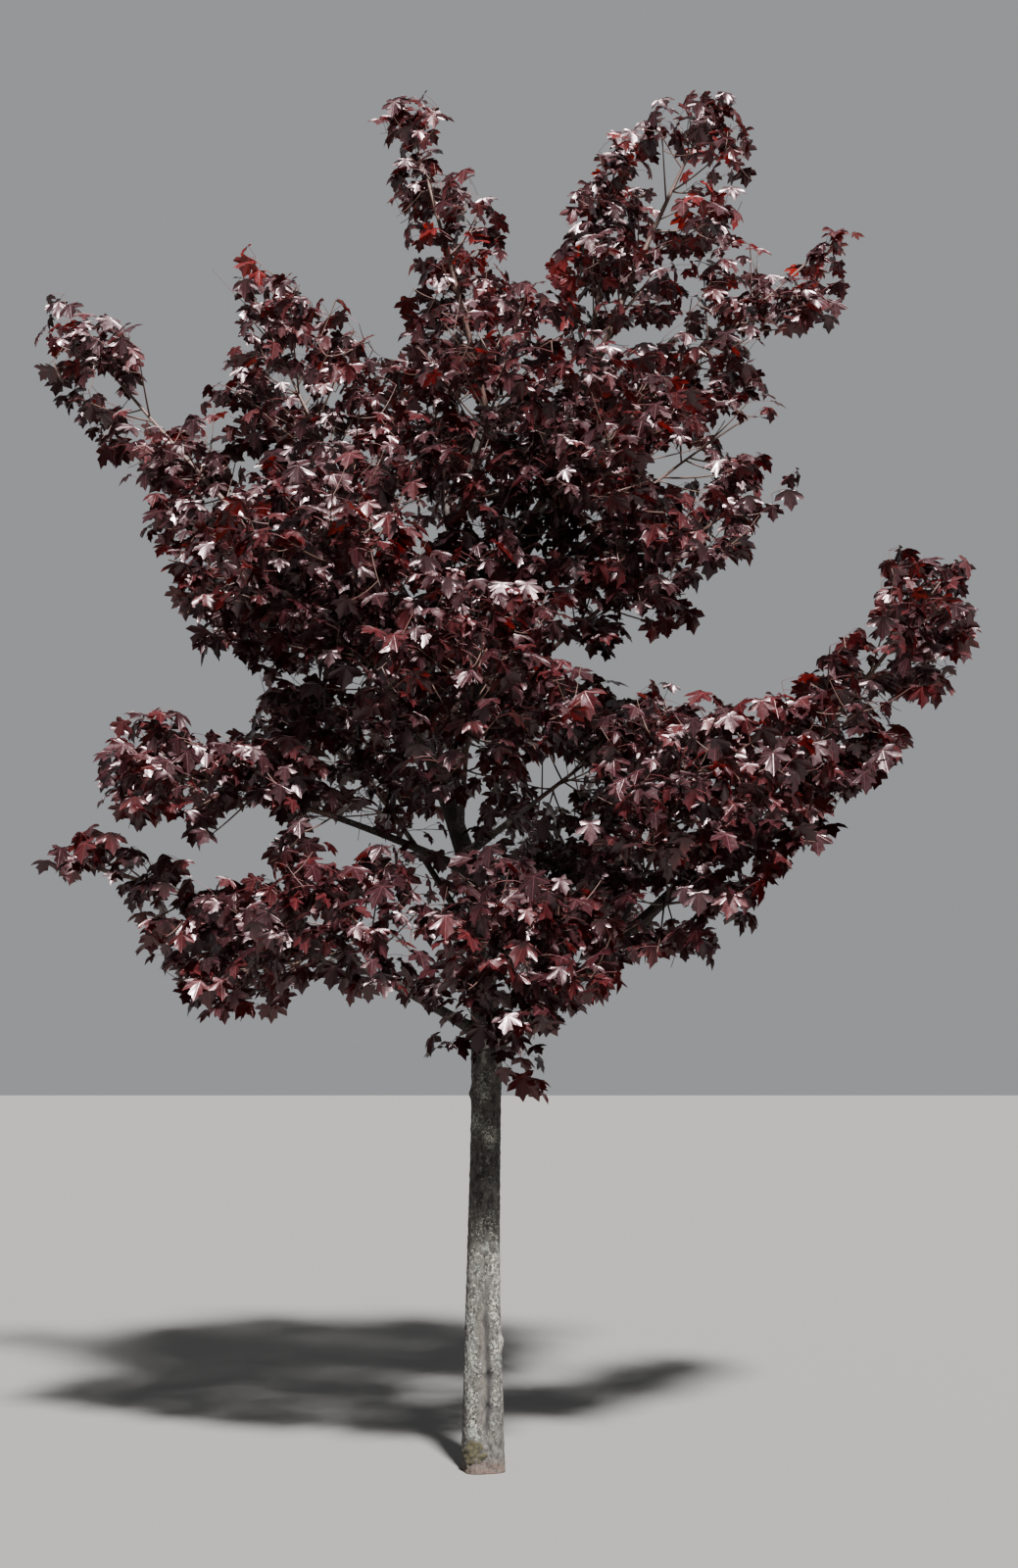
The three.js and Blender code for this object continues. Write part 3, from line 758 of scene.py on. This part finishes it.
# Waxy leaf blade: a glossy cuticle over deep purple flesh that lets a little red light through. The
# gloss shows as pale pink-grey sheen where a leaf hangs towards the light.
def leafBlade(name, colour, veinColour, through, share):
    material, add, place = startMaterial(name)
    size, detail = leafSurface["grain"]
    grain = add("ShaderNodeTexNoise", {"Vector": place, "Scale": 1 / (size * mm), "Detail": detail})[0]
    vein = add("ShaderNodeAttribute", attribute_name="vein")["Fac"]
    low, high = leafSurface["veins"]
    ridge = add("ShaderNodeMapRange", {"Value": vein, "From Min": low, "From Max": high})[0]
    tones = {0: ridge, 6: linearColour(colour), 7: linearColour(veinColour)}
    height = add("ShaderNodeMath", {0: grain, 1: ridge}, operation="ADD")[0]
    strength, depth = leafSurface["relief"]
    raised = {"Strength": strength, "Distance": depth * mm, "Height": height}
    smooth, rough = leafSurface["roughness"]
    span = {"Value": grain, "From Min": 0.3, "From Max": 0.7, "To Min": smooth, "To Max": rough}
    coat, coatRough = leafSurface["coat"]
    surface = {
        "Base Color": add("ShaderNodeMix", tones, data_type="RGBA")[2],
        "Roughness": add("ShaderNodeMapRange", span)[0],
        "IOR": 1.5,
        "Specular IOR Level": leafSurface["specular"],
        "Specular Tint": linearColour(leafSurface["sheen"]),
        "Coat Weight": coat,
        "Coat Roughness": coatRough,
        "Coat IOR": 1.45,
        "Normal": add("ShaderNodeBump", raised)[0],
    }
    blade = add("ShaderNodeBsdfPrincipled", surface)[0]
    behind = add("ShaderNodeBsdfTranslucent", {"Color": linearColour(through)})[0]
    both = add("ShaderNodeMixShader", {0: share, 1: blade, 2: behind})[0]
    add("ShaderNodeOutputMaterial", {0: both})
    return material


# Young bark of stems and twigs: thin and smooth, with a faint grain.
def youngBark(name, colour, paler, roughness, grainSize):
    material, add, place = startMaterial(name)
    grain = add("ShaderNodeTexNoise", {"Vector": place, "Scale": 1 / (grainSize * mm)})[0]
    tones = {0: grain, 6: linearColour(colour), 7: linearColour(paler)}
    shade = add("ShaderNodeMix", tones, data_type="RGBA")[2]
    relief = add("ShaderNodeBump", {"Strength": 0.4, "Distance": 0.8 * mm, "Height": grain})[0]
    surface = {"Base Color": shade, "Roughness": roughness, "Normal": relief}
    add("ShaderNodeOutputMaterial", {0: add("ShaderNodeBsdfPrincipled", surface)[0]})
    return material


# What a place on the bark bears, each an attribute of the mesh from 0 to 1. The young and dark marks also
# carry painted shade: the crown's shade on the upper trunk, and the shade in the seam and the holes.
barkMarks = ("crust", "moss", "rust", "young", "wood", "dark")

# Patterns in the bark: size, detail and roughness. Cork is longer up the trunk than across it.
barkPatterns = {
    "cork": (16, 6.0, 0.7),
    "fleck": (12, 5.0, 0.78),
    "grit": (4, 2.0, 0.6),
    "patches": (70, 2.0, 0.6),
}

# What each share follows, and the values where it begins and is full.
barkLevels = {
    "furrows": ("cork", 0.36, 0.62),
    "woodGrain": ("cork", 0.3, 0.7),
    "blueCrust": ("patches", 0.42, 0.58),
    "paleCrust": ("grit", 0.38, 0.66),
    "crusted": ("covered", 0.66, 0.71),
    "crustHeight": ("covered", 0.62, 0.74),
    "rustFlecks": ("fleck", 0.35, 0.6),
    "mossTips": ("fleck", 0.36, 0.62),
    "mossy": ("mossFleck", 0.92, 1.1),
}

barkSurface = {
    "upright": 0.45,  # how much the cork is drawn out up the trunk
    "covering": 0.27,  # how much further the flecks of lichen spread where it is thick
    "lichenLift": 0.8,  # how high its edges stand, beside the cork and grit
    "relief": 3,
    "roughness": 0.9,
}

# Layers from the cork outwards: what is made, the share, and the colours at 0 and 1 of it.
barkLayers = [
    ("oldCork", "furrows", "furrow", "bark"),
    # The young cork is darker for the younger bark and for painted shade of the crown on the upper trunk.
    ("youngShadedCork", "furrows", "youngFurrowAndShade", "youngBark"),
    ("shown", "youngShare", "oldCork", "youngShadedCork"),
    ("bareWood", "woodGrain", "oldWood", "wood"),
    ("shown", "woodShare", "shown", "bareWood"),
    ("lichen", "blueCrust", "crust", "crustBlue"),
    ("lichen", "paleCrust", "crustShade", "lichen"),
    ("shown", "crusted", "shown", "lichen"),
    ("shown", "rusted", "shown", "rust"),
    ("cushion", "mossTips", "mossShade", "moss"),
    ("shown", "mossy", "shown", "cushion"),
    # Painted shade: the seam's groove and the holes take the near-black young furrow colour.
    ("shown", "darkShare", "shown", "youngFurrowAndShade"),
]


# Grey-brown cork with dark furrows. It is darker where the bark is young and where the crown's shade is
# painted on the upper trunk. Over it goes what the mesh's marks say: pale lichen in flecks of a centimetre,
# moss, bare wood, painted shade in the holes and the seam, and a red-brown foot.
def lichenBark(name, colours):
    material, add, place = startMaterial(name)
    value = {key: linearColour(hexValue) for key, hexValue in colours.items()}
    upright = add("ShaderNodeMapping", {"Vector": place, "Scale": (1, 1, barkSurface["upright"])})[0]
    for key, (size, detail, roughness) in barkPatterns.items():
        pattern = {"Vector": upright if key == "cork" else place, "Scale": 1 / (size * mm)}
        pattern |= {"Detail": detail, "Roughness": roughness}
        value[key] = add("ShaderNodeTexNoise", pattern)[0]
    for key in barkMarks:
        value[key + "Share"] = add("ShaderNodeAttribute", attribute_name=key)["Fac"]
    covered = {0: value["crustShare"], 1: barkSurface["covering"], 2: value["fleck"]}
    value["covered"] = add("ShaderNodeMath", covered, operation="MULTIPLY_ADD")[0]
    mossed = {0: value["mossShare"], 1: value["fleck"]}
    value["mossFleck"] = add("ShaderNodeMath", mossed, operation="ADD")[0]
    for key, (source, low, high) in barkLevels.items():
        span = {"Value": value[source], "From Min": low, "From Max": high}
        value[key] = add("ShaderNodeMapRange", span, interpolation_type="SMOOTHSTEP")[0]
    rusted = {0: value["rustShare"], 1: value["rustFlecks"]}
    value["rusted"] = add("ShaderNodeMath", rusted, operation="MULTIPLY")[0]
    for made, share, first, second in barkLayers:
        layer = {0: value[share], 6: value[first], 7: value[second]}
        value[made] = add("ShaderNodeMix", layer, data_type="RGBA")[2]
    rough = add("ShaderNodeMath", {0: value["cork"], 1: value["grit"]}, operation="ADD")[0]
    height = {0: value["crustHeight"], 1: barkSurface["lichenLift"], 2: rough}
    height = add("ShaderNodeMath", height, operation="MULTIPLY_ADD")[0]
    raised = {"Strength": 1.0, "Distance": barkSurface["relief"] * mm, "Height": height}
    relief = add("ShaderNodeBump", raised)[0]
    surface = {"Base Color": value["shown"], "Roughness": barkSurface["roughness"], "Normal": relief}
    add("ShaderNodeOutputMaterial", {0: add("ShaderNodeBsdfPrincipled", surface)[0]})
    return material


trunkPiece = {
    "sides": 110,
    "ring": 4.6,  # between rings, in the lower two metres
    "above": 2000,
    "ringAbove": 10,
    "flareLobes": (4, 7, 260, 0.5),  # count, depth, height, turn
    "cork": ((14, 2.4), (6, 1.1)),  # size of its scales, and how far they stand out
    "corkUpright": 1.6,  # how much longer they are up the trunk than across it
    "fullRelief": 45,  # radius below which relief is less
    "crustLift": (2.2, 8, 5),  # how thick lichen is, and its lumps as size and seed
    "young": (1150, 2300),  # between these heights the bark turns young and dark: a darker colour for its younger bark and for painted shade of the crown
    "plainLichen": 0.30,
    "lichenPatches": ((60, 3, 0.5), (24, 11, 0.4)),  # size, seed, how much they add or take
    "seam": {  # a healed split up the front
        "turn": -74,
        "width": 8,
        "depth": 12,
        "foot": 90,
        "top": 780,
        "waver": (5, 70),  # how far, and in what length
        "ends": (90, 260),  # how long it fades out below and above
    },
    "flutes": (5, 30, 20),  # how far it swells beside the seam, at what distance, how wide
    "scar": (-22, 17),  # bare wood beside the seam: where, and how wide
    "scarCover": (0.15, 0.8, 22, 9),  # least, how much more in places, their size, seed
    "knots": [
        (360, -71, 14, -11),
        (245, -72, 10, -9),
        (480, -4, 24, 9),
        (1420, 178, 22, 10),
        (1500, -30, 30, 8),
        (1120, -110, 20, -4),
        (900, -45, 24, 5),
    ],  # height, turn in degrees, size, how far out
    "hole": (-8, 1.6),  # a knot that goes in further than this is a hole, and how dark the painted shade in it is
    # Where lichen is thick or thin: height, turn, half height, half width in degrees, how much.
    "lichen": [
        (520, -20, 300, 60, 0.42),
        (450, -130, 330, 50, 0.34),
        (150, -106, 36, 26, 0.9),
        (860, -40, 80, 60, 0.35),
        (1310, -130, 60, 34, 0.6),
        (1250, -66, 46, 32, 0.75),
        (1450, -104, 50, 36, 0.7),
        (700, 100, 420, 80, 0.3),
        (1150, 60, 300, 60, 0.25),
        (1100, -90, 260, 80, 0.1),
        (60, 0, 60, 400, -0.3),
    ],
    "moss": (84, -120, 52, 44),  # height, turn, half height, half width in degrees
    "mossLevels": (0.35, 0.75),  # how near its middle it begins and is full
    "mossEdge": ((26, 23, 0.7), (9, 29, 0.5)),  # size, seed and strength of its raggedness
    "mossLift": (3, (20, 31, 5), (8, 37, 5)),  # how thick it is, and its lumps as size, seed and height
    "rust": (8, 62),  # between these heights the red-brown foot fades out
    "rustPatches": (0.4, 30, 41),  # the least of it, its patches' size, seed
}


def patch(x, y, z, size, seed):
    return 0.5 + 0.5 * noise.noise(Vector((x / size + seed, y / size - seed, z / size)))


def away(turn, degrees):
    return remainder(turn - radians(degrees), 2 * pi)


# How near a place on the trunk is to the middle of a spot, from 0 to 1.
def spot(z, turn, height, degrees, tall, wide):
    span = away(turn, degrees) / radians(wide)
    return exp(-(((z - height) / tall) ** 2) - span**2)


# How far the bark stands out at a place on the trunk, and what it bears there, with painted shade in the
# seam, the holes and the upper trunk.
def trunkSkin(z, turn, radius):
    piece = trunkPiece
    x, y = cos(turn) * radius, sin(turn) * radius
    seam = piece["seam"]
    waver, wave = seam["waver"]
    across = away(turn, seam["turn"]) * radius + waver * sin(z / wave)
    lowEnd, highEnd = seam["ends"]
    length = smoothStep(seam["foot"], seam["foot"] + lowEnd, z)
    length *= 1 - smoothStep(seam["top"] - highEnd, seam["top"], z)
    groove = length * exp(-((across / seam["width"]) ** 2))
    out = -seam["depth"] * groove
    rise, reach, wide = piece["flutes"]
    out += rise * length * exp(-(((abs(across) - reach) / wide) ** 2))
    # Painted shade: the seam's groove, and the holes that go in deeper than the hole level, are coloured
    # near black.
    dark = groove * 0.9
    hole, holeShade = piece["hole"]
    for height, degrees, size, depth in piece["knots"]:
        swell = exp(-(((z - height) / size) ** 2) - (away(turn, degrees) * radius / size) ** 2)
        out += depth * swell
        dark += swell * holeShade * (depth < hole)
    for size, depth in piece["cork"]:
        out += depth * noise.noise(Vector((x / size, y / size, z / size / piece["corkUpright"])))
    middle, wide = piece["scar"]
    least, more, *places = piece["scarCover"]
    wood = length * exp(-(((across - middle) / wide) ** 4)) * (least + more * patch(x, y, z, *places))
    amount = piece["plainLichen"]
    for size, seed, more in piece["lichenPatches"]:
        amount += more * (patch(x, y, z, size, seed) - 0.5)
    for *place, more in piece["lichen"]:
        amount += more * spot(z, turn, *place)
    # Painted shade: from these heights up, the trunk is coloured darker and bears less lichen, for its
    # younger bark and for the crown's shade on it.
    young = float(smoothStep(*piece["young"], z))
    crust = min(max(amount, 0), 1) * (1 - min(wood, 1)) * (1 - 0.5 * young) * (1 - groove)
    thick, *lumps = piece["crustLift"]
    out += thick * crust * patch(x, y, z, *lumps)
    ragged = sum(more * (patch(x, y, z, size, seed) - 0.5) for size, seed, more in piece["mossEdge"])
    moss = float(smoothStep(*piece["mossLevels"], spot(z, turn, *piece["moss"]) + ragged))
    lift, *lumps = piece["mossLift"]
    for size, seed, more in lumps:
        lift += more * patch(x, y, z, size, seed)
    out += moss * lift
    least, *places = piece["rustPatches"]
    rust = min(1.0, float(1 - smoothStep(*piece["rust"], z)) * (least + patch(x, y, z, *places)))
    return out, (crust * (1 - moss), moss, rust, young, min(wood, 1.0), min(dark, 1.0))


# Faces of a tube from rings of points of equal number, closed at both ends.
def tubeFaces(sides, ringCount, first=0):
    faces = []
    for k in range(ringCount - 1):
        low = first + k * sides
        high = low + sides
        faces += [(low + i, low + (i + 1) % sides, high + (i + 1) % sides, high + i) for i in range(sides)]
    last = first + (ringCount - 1) * sides
    faces.append(tuple(reversed(range(first, first + sides))))
    faces.append(tuple(range(last, last + sides)))
    return faces


def barkMesh(name, corners, faces, marks):
    mesh = newMesh(name, corners, faces=faces)
    for key, value in marks.items():
        setAttribute(mesh, key, "FLOAT", value)
    return mesh


def makeTrunk():
    piece = trunkPiece
    height = trunkStations[-1][0]
    sides, above = piece["sides"], piece["above"]
    levels = [*np.arange(0, above, piece["ring"]), *np.arange(above, height, piece["ringAbove"]), height]
    lobes, depth, lobeHeight, lobeTurn = piece["flareLobes"]
    corners, marks = [], []
    for z in levels:
        middle = trunkMiddle(z)
        for k in range(sides):
            turn = 2 * pi * k / sides
            flare = depth * cos(lobes * (turn + lobeTurn)) * exp(-z / lobeHeight)
            radius = trunkValue(z, 2) / 2 + flare
            out, borne = trunkSkin(z, turn, radius)
            radius += out * min(1, radius / piece["fullRelief"])
            corners.append((middle + radius * np.array([cos(turn), sin(turn), 0])) * mm)
            marks.append(borne)
    return barkMesh("trunk_bark", corners, tubeFaces(sides, len(levels)), dict(zip(barkMarks, zip(*marks))))


boughPiece = {
    "sides": 16,
    "ring": 14,
    "leastRings": 6,
    "collar": (0.42, 46),  # how much wider a bough is at its foot, and how far that reaches
    "parentThick": 30,  # of a bough that bears another
    "furrow": (0.9, 22),  # depth, size
    "finer": (1.0, 2.0, 3),  # how the finer furrows follow: fall, step and count
    "crust": (0.6, 2600),  # how thick lichen grows, and up to which height
    "crustPatches": (30, 7),  # size, seed
    "crustLevels": (0.52, 0.64),  # where a patch begins and is full
}


def makeBoughs():
    piece = boughPiece
    sides = piece["sides"]
    wider, reach = piece["collar"]
    depth, size = piece["furrow"]
    most, highest = piece["crust"]
    corners, faces, crust = [], [], []
    for index, limb in enumerate(grownLimbs):
        row, point, first = limb["row"], limb["point"], len(corners)
        if not row["bare"]:
            continue
        parentThick = trunkValue(row["at"], 2) if row["on"] == "trunk" else piece["parentThick"]
        steps = max(int(limb["length"] * row["bare"] / piece["ring"]), piece["leastRings"])
        travelled = 0.0
        last = point(0)
        for k in range(steps + 1):
            t = row["bare"] * k / steps
            middle = point(t)
            travelled += norm(middle - last)
            last = middle
            tangent = unit(point(t + 0.001) - point(max(t - 0.001, 0)))
            level = unit(np.cross(upward, tangent))
            upper = np.cross(tangent, level)
            radius = row["thick"] / 2 * between(1, growth["tipShare"], k / steps)
            radius *= 1 + wider * exp(-max(travelled - parentThick / 2, 0) / reach)
            for side in range(sides):
                turn = 2 * pi * side / sides
                direction = level * cos(turn) + upper * sin(turn)
                place = middle + direction * radius
                out = depth * noise.fractal(Vector(place / size + index), *piece["finer"])
                grown = patch(*place, *piece["crustPatches"])
                grown = float(smoothStep(*piece["crustLevels"], grown))
                crust.append(grown * most * (place[2] < highest))
                corners.append((place + direction * out) * mm)
        faces += tubeFaces(sides, steps + 1, first)
    marks = {key: np.zeros(len(crust)) for key in barkMarks} | {"crust": crust}
    return barkMesh("boughs_bark", corners, faces, marks)


def addPiece(mesh, material):
    piece = addObject(mesh.name, mesh)
    mesh.materials.append(material)
    mesh.shade_smooth()
    print(mesh.name, len(mesh.polygons), "faces")
    return piece


barkColours = {
    "bark": "#48443f",
    "furrow": "#181513",
    # The young colours stand for the upper trunk's younger bark and for painted shade of the crown on it.
    "youngBark": "#302a25",
    # The young furrow colour is also the painted shade in the seam's groove and the holes.
    "youngFurrowAndShade": "#110e0e",
    "wood": "#4a453e",
    "oldWood": "#342e28",
    "crust": "#a8a59b",
    "crustBlue": "#7c817b",
    "crustShade": "#454239",
    "moss": "#363016",
    "mossShade": "#181408",
    "rust": "#4a352a",
}
trunkFinish = lichenBark("lichened bark", barkColours)
# The boughs' darker bark and lichen stand for their younger bark and for painted shade of the crown over
# them.
boughColoursWithShade = {"bark": "#3d342e", "furrow": "#1c1613", "crust": "#85867b", "crustBlue": "#65706a"}
boughFinish = lichenBark("dark bough bark", barkColours | boughColoursWithShade)
twigFinish = youngBark("brown twig bark", "#33221d", "#5a4036", 0.6, 12)
stalkFinish = youngBark("red leaf stalk", "#3f1417", "#5c2021", 0.5, 8)

trunkBark = addPiece(makeTrunk(), trunkFinish)
boughsBark = addPiece(makeBoughs(), boughFinish)

tubes = strandTree()
stems = strandPiece("stems", stemStrands, tubes, 10, twigFinish)
twigs = strandPiece("twigs", twigStrands, tubes, 5, twigFinish)
stalkHalf = len(stalkStrands) // 2
stalkPieces = [
    strandPiece("leaf_stalks_left", stalkStrands[:stalkHalf], tubes, 3, stalkFinish),
    strandPiece("leaf_stalks_right", stalkStrands[stalkHalf:], tubes, 3, stalkFinish),
]

# One colour to a spray: most are deep purple, and only sprays in the upper crown can be young red. Each
# row gives the name, the highest draw that takes it, blade, veins, light through it and its share.
tints = [
    ("leaves_deep_purple", 0.44, "#160507", "#351a1e", "#600c0c", 0.06),
    ("leaves_plum", 0.74, "#1f080b", "#432429", "#6a1010", 0.08),
    ("leaves_wine", 0.93, "#2a080b", "#521f1e", "#86120e", 0.12),
    ("leaves_bronze", 1.07, "#301012", "#5c3032", "#842014", 0.10),
    ("leaves_young_red", 9.0, "#480e0e", "#762727", "#b01e10", 0.24),
]
leafForms = [
    leafForm("flat leaf", 0.7, 0.4, 1.3),
    leafForm("cupped leaf", 1.4, -0.5, -0.4),
    leafForm("leaning leaf", 1.05, 0.9, 0.5),
]
leafNodes = leafTree()
leafPieces = []
lowest = -9.0
for number, (name, highest, colour, veinColour, through, share) in enumerate(tints):
    chosen = [leaf for leaf in leaves if lowest <= leaf[4] < highest]
    finish = leafBlade(name.replace("_", " "), colour, veinColour, through, share)
    leafPieces.append(leafPiece(name, chosen, leafNodes, leafForms, finish, number))
    lowest = highest
for form in leafForms:
    bpy.data.objects.remove(form)

foliageNodes = [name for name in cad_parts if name.startswith("foliage_")]
boughNodes = [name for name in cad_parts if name.startswith("bough_")]
for piece, slot, nodes in [
    (trunkBark, "bark", ["trunk"]),
    (boughsBark, "branch_bark", boughNodes),
    (stems, "foliage", foliageNodes),
    (twigs, "foliage", foliageNodes),
    *[(piece, "foliage", foliageNodes) for piece in stalkPieces + leafPieces],
]:
    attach(piece, "root")
    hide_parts(*nodes)

# Pale floor and soft studio light.
studio = {
    "floor": "#5e5c59",
    "floorHalf": 60,  # metres
    "sky": "#eef1f5",
    "skyStrength": 0.38,
    "sunTurn": (40, 0, 16),  # from behind the viewer, a little to the right
    "sunStrength": 23.0,
    "sunSoftness": 6,
}
half = studio["floorHalf"]
floorCorners = [(-half, -half, 0), (half, -half, 0), (half, half, 0), (-half, half, 0)]
floorMesh = newMesh("floor", floorCorners, faces=[(0, 1, 2, 3)])
floor = addObject("floor", floorMesh)
floorFinish = bpy.data.materials.new("matt floor paint")
floorFinish.use_nodes = True
painted = floorFinish.node_tree.nodes["Principled BSDF"]
painted.inputs["Base Color"].default_value = linearColour(studio["floor"])
painted.inputs["Roughness"].default_value = 0.9
floorMesh.materials.append(floorFinish)

world = bpy.data.worlds.new("studio")
world.use_nodes = True
background = world.node_tree.nodes["Background"].inputs
background[0].default_value = linearColour(studio["sky"])
background[1].default_value = studio["skyStrength"]
bpy.context.scene.world = world
sunData = bpy.data.lights.new("key", "SUN")
sunData.energy = studio["sunStrength"]
sunData.angle = radians(studio["sunSoftness"])
sun = addObject("key", sunData)
sun.rotation_euler = [radians(a) for a in studio["sunTurn"]]
